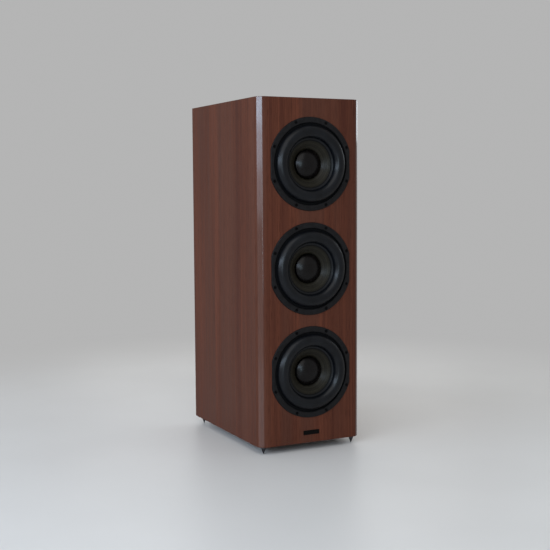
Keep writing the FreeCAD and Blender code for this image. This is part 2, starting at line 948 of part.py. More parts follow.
def make_crossover_inductors():
    bottom = inner_bottom_z + board_thickness
    profile = [
        (coil_core_radius, 0),
        (coil_flange_radius, 0),
        (coil_flange_radius, coil_flange_thickness),
        (coil_radius, coil_flange_thickness),
        (coil_radius, coil_height - coil_flange_thickness),
        (coil_flange_radius, coil_height - coil_flange_thickness),
        (coil_flange_radius, coil_height),
        (coil_core_radius, coil_height),
    ]
    coils = []
    for sign in (-1, 1):
        coil = turned_points(profile, vec(0, 0, 0)).rotated(vec(0, 0, 0), vec(1, 0, 0), 90)
        coil.translate(vec(sign * coil_spread, front_y + coil_depth, bottom))
        coils.append(coil)
    return Part.makeCompound(coils)


def make_crossover_capacitors():
    centre_z = inner_bottom_z + board_thickness + capacitor_radius
    cans = []
    for index in range(capacitor_count):
        x = (index - 1) * capacitor_spread - capacitor_length / 2
        start = vec(x, front_y + capacitor_depth, centre_z)
        cans.append(Part.makeCylinder(capacitor_radius, capacitor_length, start, vec(1, 0, 0)))
    return Part.makeCompound(cans)


def bent_wire(start, corner, end, bend_radius):
    # One right-angle bend: a straight run, a tangent arc and a straight run, in one tube.
    towards_start = (start - corner).normalize()
    towards_end = (end - corner).normalize()
    arc_start = corner + towards_start * bend_radius
    arc_end = corner + towards_end * bend_radius
    centre = corner + (towards_start + towards_end) * bend_radius
    arc_middle = centre - (towards_start + towards_end).normalize() * bend_radius
    path = Part.Wire([
        Part.LineSegment(start, arc_start).toShape(),
        Part.Arc(arc_start, arc_middle, arc_end).toShape(),
        Part.LineSegment(arc_end, end).toShape(),
    ])
    section = Part.Wire(Part.makeCircle(wire_radius, start, towards_start))
    return path.makePipeShell([section], True, False)


def make_speaker_wires():
    # Two leads to each woofer, and two from the binding posts, all down to the board.
    board_top = inner_bottom_z + board_thickness
    wires = []
    for index in range(3):
        y = front_y + wire_first_depth + wire_depth_step * index
        blade_z = driver_heights[index] - boss_drop - strip_thickness - blade_thickness / 2
        for sign in (-1, 1):
            x = sign * blade_spacing / 2
            end = vec(x, front_y + blade_depths[1], blade_z)
            bend = min(wire_bend_radius, (blade_z - board_top) * wire_bend_share)
            wires.append(bent_wire(vec(x, y, board_top), vec(x, y, blade_z), end, bend))
    post_z = base_z + cup_height
    for sign in (-1, 1):
        x = post_x(sign)
        y = front_y + input_wire_depth
        tail = vec(x, rear_y - post_tail_inset, post_z)
        wires.append(bent_wire(vec(x, y, board_top), vec(x, y, post_z), tail, input_bend_radius))
    return Part.makeCompound(wires)


def make_spike(x, depth):
    # Threaded stud above a sharp cone; the threads are left plain.
    cone_height = base_z - lock_nut_height
    stud = upright_cylinder(stud_radius, x, depth, (cone_height, cone_height + stud_length))
    cone = Part.makeCone(spike_tip_radius, spike_top_radius, cone_height, vec(x, front_y + depth, 0))
    return stud.fuse(cone).removeSplitter()


def make_spike_inserts():
    inserts = []
    for x, depth in spike_places().values():
        z_range = (base_z, base_z + insert_height)
        outer = upright_cylinder(insert_radius, x, depth, z_range)
        inserts.append(outer.cut(upright_cylinder(stud_radius + running_gap, x, depth, z_range)))
    return Part.makeCompound(inserts)


def make_spike_lock_nuts():
    nuts = []
    for x, depth in spike_places().values():
        centre = vec(x, front_y + depth, base_z - lock_nut_height + part_gap)
        height = lock_nut_height - part_gap
        nut = hexagon(lock_nut_across_flats, centre, vec(0, 0, 1), height)
        nuts.append(nut.cut(Part.makeCylinder(stud_radius + running_gap, height, centre)))
    return Part.makeCompound(nuts)


def write_cabinet():
    save("front_baffle", make_front_baffle())
    save("side_panel_left", make_side_panel(-1))
    save("side_panel_right", make_side_panel(1))
    save("top_panel", make_top_panel())
    save("bottom_panel", make_bottom_panel())
    save("rear_panel", make_rear_panel())
    save("shelf_brace_lower", make_shelf_brace(brace_heights[0]))
    save("shelf_brace_upper", make_shelf_brace(brace_heights[1]))
    save("damping_lining", make_damping_lining())
    save("badge_plate", make_badge_plate())
    save("port_tube", make_port_tube())


def write_drivers():
    makers = {
        "driver_frame": make_driver_frame(),
        "surround": make_surround(),
        "cone": make_cone(),
        "dust_cap": make_dust_cap(),
        "voice_coil": make_voice_coil(),
        "spider": make_spider(),
        "top_plate": make_top_plate(),
        "magnet": make_magnet(),
        "pole_plate": make_pole_plate(),
    }
    for name, shape in makers.items():
        for index, driver in enumerate(driver_names):
            save(name + "_" + driver, at_driver(shape, index))
    groups = {
        "frame_gaskets": [make_frame_gasket()],
        "frame_screws": make_frame_screws(),
        "driver_terminals": make_driver_terminals(),
    }
    for name, solids in groups.items():
        copies = [at_driver(solid, index) for index in range(3) for solid in solids]
        save(name, Part.makeCompound(copies))


def write_rear_terminals():
    save("terminal_cup", make_terminal_cup())
    save("wood_screws", make_wood_screws())
    save("binding_posts", make_binding_posts())
    save("post_insulators", make_post_insulators())
    save("post_nuts", make_post_nuts())
    for name, sign in (("positive", -1), ("negative", 1)):
        save("clamp_washer_" + name, make_clamp_washer(sign))
        save("post_knob_" + name, make_post_knob(sign))


def write_crossover():
    save("crossover_board", make_crossover_board())
    save("crossover_inductors", make_crossover_inductors())
    save("crossover_capacitors", make_crossover_capacitors())
    save("speaker_wires", make_speaker_wires())


def write_spikes():
    save("spike_inserts", make_spike_inserts())
    save("spike_lock_nuts", make_spike_lock_nuts())
    for name, (x, depth) in spike_places().items():
        save("spike_" + name, make_spike(x, depth))


os.makedirs("parts", exist_ok=True)
write_cabinet()
write_drivers()
write_rear_terminals()
write_crossover()
write_spikes()
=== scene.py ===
import math
import bmesh
import bpy
import numpy as np
from mathutils import Matrix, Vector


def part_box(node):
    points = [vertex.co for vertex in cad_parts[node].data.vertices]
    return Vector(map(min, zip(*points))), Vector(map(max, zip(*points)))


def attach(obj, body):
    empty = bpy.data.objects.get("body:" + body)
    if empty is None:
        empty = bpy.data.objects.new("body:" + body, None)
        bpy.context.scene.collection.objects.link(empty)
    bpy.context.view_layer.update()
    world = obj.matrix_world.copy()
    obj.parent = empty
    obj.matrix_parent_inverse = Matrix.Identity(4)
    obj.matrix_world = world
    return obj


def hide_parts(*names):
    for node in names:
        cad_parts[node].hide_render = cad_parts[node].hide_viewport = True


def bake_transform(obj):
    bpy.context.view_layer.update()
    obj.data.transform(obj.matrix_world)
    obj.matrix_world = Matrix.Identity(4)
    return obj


# Floorstanding speaker: veneered cabinet, three woofers, rear terminals, spikes.
# Metres, +Z up, the front faces -Y. Lengths in the dictionaries are in millimetres, but those of
# bumps and of the studio are in metres. Depths count backwards from the front plane.

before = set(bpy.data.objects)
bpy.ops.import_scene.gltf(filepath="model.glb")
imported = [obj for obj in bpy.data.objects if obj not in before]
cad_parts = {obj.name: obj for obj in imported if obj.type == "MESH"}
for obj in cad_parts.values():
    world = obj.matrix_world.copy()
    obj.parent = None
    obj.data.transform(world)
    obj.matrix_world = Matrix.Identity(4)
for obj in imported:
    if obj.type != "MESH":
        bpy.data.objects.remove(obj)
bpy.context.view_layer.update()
mm = 0.001
weldReach = 2e-6
shortestEdge = 1e-7

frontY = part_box("front_baffle")[0].y
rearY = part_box("side_panel_left")[1].y
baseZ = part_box("bottom_panel")[0].z
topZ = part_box("top_panel")[1].z
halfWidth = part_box("front_baffle")[1].x
driverNames = ("lower", "middle", "upper")
driverZ = {k: sum(c.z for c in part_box("driver_frame_" + k)) / 2 for k in driverNames}
driverStep = driverZ["middle"] - driverZ["lower"]


def gridFaces(rows, columns, first):
    # four-cornered faces between neighbouring rows and columns of a grid of points
    index = first + np.arange(rows * columns).reshape(rows, columns)
    corners = [index[:-1, :-1], index[:-1, 1:], index[1:, 1:], index[1:, :-1]]
    return np.stack(corners, axis=-1).reshape(-1, 4)


def buildPiece(name, grids, crease=38.0):
    # Grids of points (rows, columns, 3) welded where they meet into one closed mesh,
    # shaded smooth except at edges sharper than crease degrees.
    points = np.concatenate([grid.reshape(-1, 3) for grid in grids])
    faces = []
    first = 0
    for grid in grids:
        rows, columns = grid.shape[:2]
        faces.append(gridFaces(rows, columns, first))
        first += rows * columns
    mesh = bpy.data.meshes.new(name)
    mesh.from_pydata(points.tolist(), [], np.concatenate(faces).tolist())
    weldMesh(mesh)
    mesh.shade_smooth()
    mesh.set_sharp_from_angle(angle=math.radians(crease))
    piece = bpy.data.objects.new(name, mesh)
    bpy.context.scene.collection.objects.link(piece)
    return piece


def weldMesh(mesh):
    work = bmesh.new()
    work.from_mesh(mesh)
    bmesh.ops.remove_doubles(work, verts=work.verts, dist=weldReach)
    bmesh.ops.dissolve_degenerate(work, edges=work.edges, dist=shortestEdge)
    bmesh.ops.recalc_face_normals(work, faces=work.faces)
    work.to_mesh(mesh)
    work.free()


def swept(radius, along, place, upright=False):
    # rows of radii and of distances along the axis, turned about Y, or about Z when upright:
    # (r cos a, along, r sin a)
    angle = np.linspace(0, 2 * np.pi, radius.shape[1])
    across, up = radius * np.cos(angle), radius * np.sin(angle)
    parts = (across, up, along) if upright else (across, along, up)
    return np.stack(parts, axis=-1) * mm + np.array(place)


def turned(profile, place, steps):
    # a profile of (radius, distance along the axis) turned right round
    row = np.zeros(steps + 1)
    return swept(profile[:, :1] + row, profile[:, 1:] + row, place)


def arcPoints(centre, radii, start, end, count):
    # points on an ellipse between two angles in degrees: centre + (a cos t, b sin t)
    t = np.radians(np.linspace(start, end, count))
    across, along = radii[0] * np.cos(t), radii[1] * np.sin(t)
    return np.stack([centre[0] + across, centre[1] + along], axis=-1)


def softCorner(before, corner, after, size, count=6):
    # a rounded corner: the quadratic curve (1-t)^2 p + 2t(1-t) c + t^2 q, set back by size
    before, corner, after = (np.array(point, float) for point in (before, corner, after))
    setBack = [point - corner for point in (before, after)]
    ends = [corner + step / np.linalg.norm(step) * size for step in setBack]
    t = np.linspace(0, 1, count)[:, None]
    return (1 - t) ** 2 * ends[0] + 2 * t * (1 - t) * corner + t ** 2 * ends[1]


def stack(*runs):
    # single points and runs of points joined into one profile
    return np.concatenate([np.atleast_2d(np.array(run, float)) for run in runs])


class Wire:
    # one value socket, so that shader sums read as plain sums
    def __init__(self, finish, socket):
        self.finish = finish
        self.socket = socket

    def sum(self, operation, first, second):
        return self.finish.add("ShaderNodeMath", {"operation": operation}, {0: first, 1: second})

    def __add__(self, other):
        return self.sum("ADD", self, other)

    def __radd__(self, other):
        return self.sum("ADD", other, self)

    def __sub__(self, other):
        return self.sum("SUBTRACT", self, other)

    def __rsub__(self, other):
        return self.sum("SUBTRACT", other, self)

    def __mul__(self, other):
        return self.sum("MULTIPLY", self, other)

    def __rmul__(self, other):
        return self.sum("MULTIPLY", other, self)

    def __pow__(self, other):
        return self.sum("POWER", self, other)


class Finish:
    # a material being made; shine holds the shader's constant sockets
    def __init__(self, name, shine):
        self.material = bpy.data.materials.new(name)
        self.material.use_nodes = True
        self.tree = self.material.node_tree
        self.shader = self.tree.nodes["Principled BSDF"]
        self.place = self.add("ShaderNodeTexCoord", {}, {}, "Object")
        for socket, value in shine.items():
            self.shader.inputs[socket].default_value = value

    def add(self, kind, settings, values, output=0):
        # settings are set first, then values or wires go to the sockets
        node = self.tree.nodes.new(kind)
        for setting, value in settings.items():
            if setting == "stops":
                self.setStops(node.color_ramp, value)
            else:
                setattr(node, setting, value)
        for socket, value in values.items():
            self.feed(node.inputs[socket], value)
        return Wire(self, node.outputs[output])

    def feed(self, socket, value):
        if isinstance(value, Wire):
            self.tree.links.new(value.socket, socket)
        else:
            socket.default_value = value

    def setStops(self, ramp, stops):
        while len(ramp.elements) < len(stops):
            ramp.elements.new(0.5)
        for element, (position, colour) in zip(ramp.elements, stops):
            element.position = position
            element.color = (*colour, 1)

    def stretch(self, vector, scale, turn=(0, 0, 0)):
        values = {"Vector": vector, "Scale": scale, "Rotation": turn}
        return self.add("ShaderNodeMapping", {}, values)

    def noise(self, vector, scale, detail, roughness=0.5):
        values = {"Vector": vector, "Scale": scale, "Detail": detail, "Roughness": roughness}
        return self.add("ShaderNodeTexNoise", {}, values)

    def ramp(self, value, stops):
        return self.add("ShaderNodeValToRGB", {"stops": stops}, {0: value})

    def remap(self, value, span, result=(0.0, 1.0)):
        # value's way across span, eased at both ends, as a place between the two results
        values = {0: value, 1: span[0], 2: span[1], 3: result[0], 4: result[1]}
        return self.add("ShaderNodeMapRange", {"interpolation_type": "SMOOTHSTEP"}, values)

    def tint(self, factor, first, second):
        pick = {"data_type": "RGBA", "clamp_factor": True}
        return self.add("ShaderNodeMix", pick, {0: factor, 6: first, 7: second}, 2)

    def bump(self, height, distance):
        return self.add("ShaderNodeBump", {}, {"Height": height, "Distance": distance})

    def axes(self, vector):
        return [self.add("ShaderNodeSeparateXYZ", {}, {0: vector}, axis) for axis in range(3)]

    def done(self, colour, roughness, normal):
        self.feed(self.shader.inputs["Base Color"], colour)
        self.feed(self.shader.inputs["Roughness"], roughness)
        self.feed(self.shader.inputs["Normal"], normal)
        return self.material


def rgb(red, green, blue):
    # a screen colour from 0 to 255, as the linear light that a shader works in, and opaque
    screen = np.array([red, green, blue]) / 255
    light = np.where(screen <= 0.04045, screen / 12.92, ((screen + 0.055) / 1.055) ** 2.4)
    return (*light.tolist(), 1.0)


# noise seldom leaves these bounds, so they stretch it to its full contrast
narrowSpan = (0.35, 0.65)
wideSpan = (0.3, 0.7)

veneer = {
    "dark": (75, 42, 33), "mid": (86, 49, 37), "light": (97, 55, 41),
    "grey": (83, 53, 43), "pore": (50, 27, 21),
    # width across the grain, length as a share of the grain's length, fine detail
    "band": (22.0, 0.5, 1.0), "streak": (4.2, 2.0, 1.0), "fine": (1.7, 4.0, 1.0),
    "greyBand": (28.6, 0.6, 1.0), "pores": (0.5, 0.7, 0.0), "length": 45.0,
    # how much of each width goes into the tone, and where the tones lie
    "shares": (0.42, 0.26, 0.32), "toneStops": (0.38, 0.5, 0.62),
    "greySpan": (0.42, 0.6), "greyMost": 0.5, "poreSpan": (0.6, 0.72), "poreStain": 0.4,
    # the grain's wandering: stretch of its noise, and reach in metres
    "wander": (4, 4, 1.5), "sway": (0.012, 0.012, 0.0),
    "gloss": 0.04, "roughness": (0.3, 0.4), "poreDepth": 0.00005, "edge": 0.6,
    "peelScale": 520.0, "peelShare": 0.7,
    "cornerRadius": 22.0, "shineFrom": 2.3, "shineTo": 11.9, "shineFades": (0.5, 0.6),
    "cornerShine": (0.72, 1.0), "cornerRoughness": 0.1, "cornerIndex": 1.6,
}


def makeVeneer():
    # Ribbon-striped veneer under satin lacquer. The grain stands upright on the walls and
    # runs front to back on level faces: noise squeezed across the grain, in four widths.
    # The rounded front corners are rubbed to a brighter gloss than the flats.
    v = veneer
    f = Finish("satinVeneer", {
        "Specular IOR Level": v["gloss"], "Coat Roughness": v["cornerRoughness"],
        "Coat IOR": v["cornerIndex"],
    })
    x, y, z = f.axes(f.place)
    past = {"operation": "GREATER_THAN"}
    onTop = f.add("ShaderNodeMath", past, {0: z, 1: topZ - v["edge"] * mm})
    level = onTop + f.add("ShaderNodeMath", past, {0: baseZ + v["edge"] * mm, 1: z})
    turnedPlace = f.stretch(f.place, (1, 1, 1), (math.pi / 2, 0, 0))
    pick = {"data_type": "VECTOR"}
    place = f.add("ShaderNodeMix", pick, {0: level, 4: f.place, 5: turnedPlace}, 1)
    wanderPlace = {"Vector": f.stretch(place, v["wander"]), "Scale": 1.0}
    wander = f.add("ShaderNodeTexNoise", {}, wanderPlace, 1)
    sway = {"operation": "MULTIPLY_ADD"}
    drift = f.add("ShaderNodeVectorMath", sway, {0: wander, 1: v["sway"], 2: place})

    def grain(width, longer, detail):
        # one noise cell is two widths across
        across = 0.5 / (width * mm)
        scale = (across, across, across / (v["length"] * longer))
        return f.noise(f.stretch(drift, scale), 1.0, detail)

    band, streak, fine = (grain(*v[key]) for key in ("band", "streak", "fine"))
    bandShare, streakShare, fineShare = v["shares"]
    mixed = band * bandShare + streak * streakShare + fine * fineShare
    colours = [rgb(*v[key])[:3] for key in ("dark", "mid", "light")]
    wood = f.ramp(mixed, list(zip(v["toneStops"], colours)))
    greyBand = f.remap(grain(*v["greyBand"]), v["greySpan"], (0.0, v["greyMost"]))
    wood = f.tint(greyBand, wood, rgb(*v["grey"]))
    pore = f.remap(grain(*v["pores"]), v["poreSpan"])
    wood = f.tint(pore * v["poreStain"], wood, rgb(*v["pore"]))
    orangePeel = f.noise(place, v["peelScale"], 1.0)
    rough = f.remap(streak, narrowSpan, v["roughness"])
    peelShine = f.remap(orangePeel, narrowSpan, v["cornerShine"])
    inFromFront = y - frontY
    start, stop = v["shineFrom"] * mm, v["shineTo"] * mm
    fadeIn, fadeOut = (fade * mm for fade in v["shineFades"])
    flatHalf = halfWidth - v["cornerRadius"] * mm
    corner = f.add("ShaderNodeMath", past, {0: x * x, 1: flatHalf ** 2})
    rising = f.remap(inFromFront, (start, start + fadeIn))
    gloss = rising * f.remap(inFromFront, (stop, stop + fadeOut), (1.0, 0.0))
    f.feed(f.shader.inputs["Coat Weight"], corner * gloss * (1 - level) * peelShine)
    return f.done(wood, rough, f.bump(orangePeel * v["peelShare"] - pore, v["poreDepth"]))


def speckled(name, first, second, scale, roughness, bumpScale, bumpDepth, shine=None):
    # two close tones in slow clouds, roughness that drifts with them and a fine surface bump
    f = Finish(name, shine or {})
    clouds = f.noise(f.place, scale, 4.0)
    colour = f.tint(f.remap(clouds, narrowSpan), rgb(*first), rgb(*second))
    grain = f.noise(f.place, bumpScale, 3.0, 0.6)
    rough = f.remap(clouds * 0.5 + grain * 0.5, wideSpan, roughness)
    return f.done(colour, rough, f.bump(grain, bumpDepth))


def brushed(name, first, second, stretch, roughness, depth, shine):
    # metal with fine parallel marks: noise squeezed across them
    f = Finish(name, shine)
    marks = f.noise(f.stretch(f.place, stretch), 1.0, 4.0, 0.65)
    clouds = f.noise(f.place, 60.0, 3.0)
    colour = f.tint(f.remap(marks * 0.7 + clouds * 0.3, wideSpan), rgb(*first), rgb(*second))
    rough = f.remap(marks, wideSpan, roughness)
    return f.done(colour, rough, f.bump(marks, depth))


def driverRadius(f):
    # distance from the axis of the nearest woofer, whichever of the three it is
    x, _, z = f.axes(f.place)
    low = driverZ["lower"] - driverStep / 2
    wrap = {"operation": "WRAP"}
    near = f.add("ShaderNodeMath", wrap, {0: z, 1: low + driverStep, 2: low}) - driverZ["lower"]
    return (x * x + near * near) ** 0.5


rubberLook = {
    "first": (5, 7, 11), "second": (8, 11, 16), "dull": (9, 10, 12), "roughness": (0.5, 0.6),
    "gloss": 0.06, "roll": (56.5, 90.6), "shine": 0.42, "shineDrift": (0.9, 1.0),
    "shineRoughness": 0.28, "cloudScale": 40.0, "grainScale": 1500.0, "grainDepth": 0.000008,
}


def makeRubber():
    # moulded rubber: the half roll carries the mould's polish, the lips beside it stay dull
    look = rubberLook
    f = Finish("mouldedRubber", {
        "Specular IOR Level": look["gloss"], "Coat Roughness": look["shineRoughness"],
    })
    radius = driverRadius(f)
    start, stop = (edge * mm for edge in look["roll"])
    rising = f.remap(radius, (start, start + mm))
    roll = rising * f.remap(radius, (stop - mm, stop), (1.0, 0.0))
    clouds = f.noise(f.place, look["cloudScale"], 4.0)
    colour = f.tint(f.remap(clouds, narrowSpan), rgb(*look["first"]), rgb(*look["second"]))
    colour = f.tint(roll, rgb(*look["dull"]), colour)
    drift = f.remap(clouds, wideSpan, look["shineDrift"])
    f.feed(f.shader.inputs["Coat Weight"], roll * drift * look["shine"])
    grain = f.noise(f.place, look["grainScale"], 3.0, 0.6)
    rough = f.remap(clouds, wideSpan, look["roughness"])
    return f.done(colour, rough, f.bump(grain, look["grainDepth"]))


coneLook = {
    "first": (15, 13, 9), "second": (40, 37, 29), "gloss": 0.13, "roughness": (0.27, 0.36),
    "bandPitch": 2.2, "ringPitch": 1.1, "ringDepth": 0.00005, "fleckScale": 500.0,
    "toneSpan": (0.36, 0.64), "roughSpan": (0.2, 0.8),
    # glue: near-black colour inside the throat, the glue's own dark deepened by painted shade in
    # the groove round the cap
    "glueAndShadeRadius": 35.2, "glueAndShadeFade": 0.4, "glue": (4, 4, 4),
}


def makeConeFinish():
    # filled polymer spun with fine rings round the axis, and a near-black ring in the throat that
    # is partly glue and partly painted shade
    look = coneLook
    f = Finish("spunCone", {"Specular IOR Level": look["gloss"]})
    radius = driverRadius(f)
    ringAngle = radius * (2 * math.pi / (look["ringPitch"] * mm))
    ring = f.add("ShaderNodeMath", {"operation": "SINE"}, {0: ringAngle}) * 0.5 + 0.5
    flecks = f.noise(f.place, look["fleckScale"], 3.0)
    bands = f.add("ShaderNodeCombineXYZ", {}, {0: radius * (1.0 / (look["bandPitch"] * mm))})
    spread = f.noise(bands, 1.0, 2.0)
    mix = f.remap(spread * 0.8 + flecks * 0.2, look["toneSpan"])
    colour = f.tint(mix, rgb(*look["first"]), rgb(*look["second"]))
    # painted shade: inside the throat radius the colour goes near-black, darker than glue alone,
    # standing in for the shaded groove round the cap
    glueAndShadeEdge = look["glueAndShadeRadius"] * mm
    glueAndPaintedShade = f.remap(radius, (glueAndShadeEdge - look["glueAndShadeFade"] * mm, glueAndShadeEdge), (1.0, 0.0))
    colour = f.tint(glueAndPaintedShade, colour, rgb(*look["glue"]))
    rough = f.remap(ring * 0.4 + flecks * 0.6, look["roughSpan"], look["roughness"])
    height = ring * 0.7 + spread * 1.2 + flecks * 0.2
    return f.done(colour, rough, f.bump(height, look["ringDepth"]))


feltLook = {
    "first": (150, 148, 140), "second": (196, 193, 184), "roughness": (0.85, 1.0),
    "sheen": 0.3, "gloss": 0.2, "fibreStretch": (1, 1, 0.4), "fibreScale": 900.0,
    "clumpScale": 60.0, "depth": 0.0012,
}


def makeFelt():
    # matted fibres in soft clumps
    look = feltLook
    f = Finish("greyFelt", {"Sheen Weight": look["sheen"], "Specular IOR Level": look["gloss"]})
    fibrePlace = f.stretch(f.place, look["fibreStretch"])
    fibre = f.noise(fibrePlace, look["fibreScale"], 5.0, 0.7)
    clump = f.noise(f.place, look["clumpScale"], 4.0)
    tone = f.remap(fibre * 0.6 + clump * 0.4, narrowSpan)
    colour = f.tint(tone, rgb(*look["first"]), rgb(*look["second"]))
    rough = f.remap(fibre, wideSpan, look["roughness"])
    return f.done(colour, rough, f.bump(fibre + clump, look["depth"]))


boardLook = {
    "first": (158, 126, 86), "second": (190, 160, 116), "roughness": (0.75, 0.9),
    "gloss": 0.25, "chipStretch": (1, 1, 1.6), "chipScale": 700.0, "cloudScale": 30.0,
    "toneSpan": (0.2, 0.7), "depth": 0.0001,
}


def makeFibreboard():
    # pressed wood chips, raw
    look = boardLook
    f = Finish("rawFibreboard", {"Specular IOR Level": look["gloss"]})
    chipPlace = {"Vector": f.stretch(f.place, look["chipStretch"]), "Scale": look["chipScale"]}
    chips = f.add("ShaderNodeTexVoronoi", {}, chipPlace)
    clouds = f.noise(f.place, look["cloudScale"], 4.0)
    tone = f.remap(chips * 0.5 + clouds * 0.5, look["toneSpan"])
    colour = f.tint(tone, rgb(*look["first"]), rgb(*look["second"]))
    rough = f.remap(clouds, wideSpan, look["roughness"])
    return f.done(colour, rough, f.bump(chips, look["depth"]))


weaveLook = {
    "first": (150, 116, 50), "second": (196, 162, 88), "roughness": (0.5, 0.7),
    "gloss": 0.3, "threadScale": 5200.0, "cloudScale": 90.0, "toneSpan": (0.2, 0.8),
    "depth": 0.0001,
}


def makeWeave():
    # varnished cotton of the spider: two crossed sets of threads
    look = weaveLook
    f = Finish("varnishedWeave", {"Specular IOR Level": look["gloss"]})
    x, _, z = f.axes(f.place)
    wave = {"operation": "SINE"}
    threads = [f.add("ShaderNodeMath", wave, {0: axis * look["threadScale"]}) for axis in (x, z)]
    weave = threads[0] * threads[1] * 0.5 + 0.5
    clouds = f.noise(f.place, look["cloudScale"], 3.0)
    tone = f.remap(weave * 0.6 + clouds * 0.4, look["toneSpan"])
    colour = f.tint(tone, rgb(*look["first"]), rgb(*look["second"]))
    rough = f.remap(clouds, wideSpan, look["roughness"])
    return f.done(colour, rough, f.bump(weave, look["depth"]))


woundLook = {
    "roughness": (0.28, 0.42), "cloudScale": 140.0, "ridgeShare": 0.25,
    "toneSpan": (0.3, 0.9), "depth": 0.0001,
}


def makeWound(name, first, second, pitch, axis, shine):
    # enamelled wire laid side by side: ridges along one axis
    look = woundLook
    f = Finish(name, shine)
    run = f.axes(f.place)[axis]
    angle = run * (2 * math.pi / (pitch * mm))
    ridge = f.add("ShaderNodeMath", {"operation": "SINE"}, {0: angle})
    clouds = f.noise(f.place, look["cloudScale"], 3.0)
    tone = f.remap(ridge * look["ridgeShare"] + clouds, look["toneSpan"])
    colour = f.tint(tone, rgb(*first), rgb(*second))
    rough = f.remap(clouds, wideSpan, look["roughness"])
    return f.done(colour, rough, f.bump(ridge, look["depth"]))


metal = {"Metallic": 1.0}
polished = {"Coat Weight": 0.3}
# speckled: two colours, cloud scale, roughness, grain scale and depth; brushed: two colours,
# stretch of the marks, roughness and depth; wound: two colours, pitch and axis
finishes = {
    "veneer": makeVeneer(),
    "fibreboard": makeFibreboard(),
    "felt": makeFelt(),
    "weave": makeWeave(),
    "cone": makeConeFinish(),
    "rubber": makeRubber(),
    "cap": speckled(
        "pressedCap", (7, 5, 5), (10, 7, 7), 70.0, (0.24, 0.3), 1800.0, 0.000006,
        {"Specular IOR Level": 0.21}),
    "framePaint": speckled(
        "powderCoat", (18, 17, 18), (24, 23, 24), 120.0, (0.5, 0.62), 1600.0, 0.00008,
        {"Specular IOR Level": 0.15}),
    "blackPlastic": speckled(
        "sparkTexturedPlastic", (24, 24, 25), (31, 31, 32), 90.0, (0.5, 0.65), 1300.0, 0.0001),
    "gasket": speckled(
        "foamGasket", (30, 30, 31), (44, 44, 45), 500.0, (0.85, 0.95), 1100.0, 0.0003),
    "ferrite": speckled(
        "sinteredFerrite", (44, 45, 48), (60, 61, 64), 260.0, (0.6, 0.8), 900.0, 0.0001),
    "redPlastic": speckled(
        "redPlastic", (128, 14, 14), (146, 20, 18), 90.0, (0.2, 0.32), 1500.0, 0.00002, polished),
    "glossBlack": speckled(
        "glossBlackPlastic", (20, 20, 21), (28, 28, 29), 90.0, (0.2, 0.32), 1500.0, 0.00002,
        polished),
    "wireJacket": speckled(
        "wireJacket", (110, 20, 18), (136, 30, 26), 120.0, (0.38, 0.5), 900.0, 0.00003),
    "canFilm": speckled(
        "capacitorFilm", (182, 150, 60), (204, 174, 84), 60.0, (0.3, 0.42), 700.0, 0.00004),
    "badge": brushed(
        "brushedBlackBadge", (7, 6, 6), (13, 12, 11), (60, 900, 4000), (0.3, 0.42), 0.00002,
        {"Specular IOR Level": 0.06}),
    "blackScrew": brushed(
        "blackOxide", (15, 15, 16), (34, 34, 36), (900, 900, 900), (0.3, 0.45), 0.00002, metal),
    "spikeSteel": brushed(
        "darkTurnedSteel", (52, 52, 54), (86, 86, 88), (200, 200, 3800), (0.26, 0.4), 0.00002,
        metal),
    "zincSteel": brushed(
        "zincPlate", (150, 152, 150), (196, 198, 196), (300, 40, 300), (0.3, 0.45), 0.00003,
        metal),
    "gold": brushed(
        "goldPlate", (214, 172, 92), (240, 206, 128), (300, 2600, 300), (0.16, 0.28), 0.00001,
        metal),
    "brass": brushed(
        "plainBrass", (170, 134, 66), (206, 168, 92), (400, 1200, 400), (0.28, 0.42), 0.00002,
        metal),
    "copper": makeWound("enamelledCopper", (150, 74, 40), (206, 118, 70), 1.0, 2, metal),
    "winding": makeWound("coilWinding", (138, 72, 42), (196, 112, 70), 0.45, 1, metal),
}
print("finishes made")

cadFinish = {
    "veneer": [
        "front_baffle", "side_panel_left", "side_panel_right",
        "top_panel", "bottom_panel", "rear_panel",
    ],
    "fibreboard": ["shelf_brace_lower", "shelf_brace_upper", "crossover_board"],
    "felt": ["damping_lining"],
    "blackPlastic": ["terminal_cup", "post_insulators"],
    "gasket": ["frame_gaskets"],
    "blackScrew": ["frame_screws", "wood_screws"],
    "brass": ["driver_terminals", "post_nuts", "spike_inserts"],
    "gold": ["binding_posts", "clamp_washer_positive", "clamp_washer_negative"],
    "copper": ["crossover_inductors"],
    "canFilm": ["crossover_capacitors"],
    "wireJacket": ["speaker_wires"],
}
for driver in driverNames:
    cadFinish.setdefault("framePaint", []).append("driver_frame_" + driver)
    cadFinish.setdefault("winding", []).append("voice_coil_" + driver)
    cadFinish.setdefault("zincSteel", []).extend(["top_plate_" + driver, "pole_plate_" + driver])
    cadFinish.setdefault("ferrite", []).append("magnet_" + driver)


def dress(piece, finish):
    piece.data.materials.clear()
    piece.data.materials.append(finishes[finish])


for finish, nodes in cadFinish.items():
    for node in nodes:
        dress(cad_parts[node], finish)
print("CAD nodes dressed")

# bend: the radii of the fixed and the moving rim
surround = {
    "outer": 96.4, "inner": 55.5, "seat": 2.6, "rim": 1.6, "face": 0.2, "rollCentre": 76.0,
    "rollRadius": 15.0, "wall": 1.2, "lipWall": 0.85, "fillet": 0.9, "innerFillet": 0.5,
    "rimRound": 0.3, "lipRound": 0.5, "rollSteps": 64, "hollowSteps": 48, "steps": 200,
    "bend": (90.5, 61.5),
}
cone = {
    "edge": (60.6, 1.2), "slopes": (22.0, 37.0), "throat": 35.5, "grooveOut": (34.4, 18.6),
    "grooveIn": (31.8, 19.6), "neck": (25.8, 23.3), "end": 30.0, "wall": 1.0, "glue": 0.05,
    "throatRound": 0.5, "grooveRound": 0.7, "faceSteps": 40, "backSteps": 24, "steps": 180,
}
cap = {
    "radius": 33.0, "height": 12.2, "base": 12.0, "rim": 19.08, "wall": 0.9,
    "outsideSteps": 48, "insideSteps": 32, "steps": 144,
}
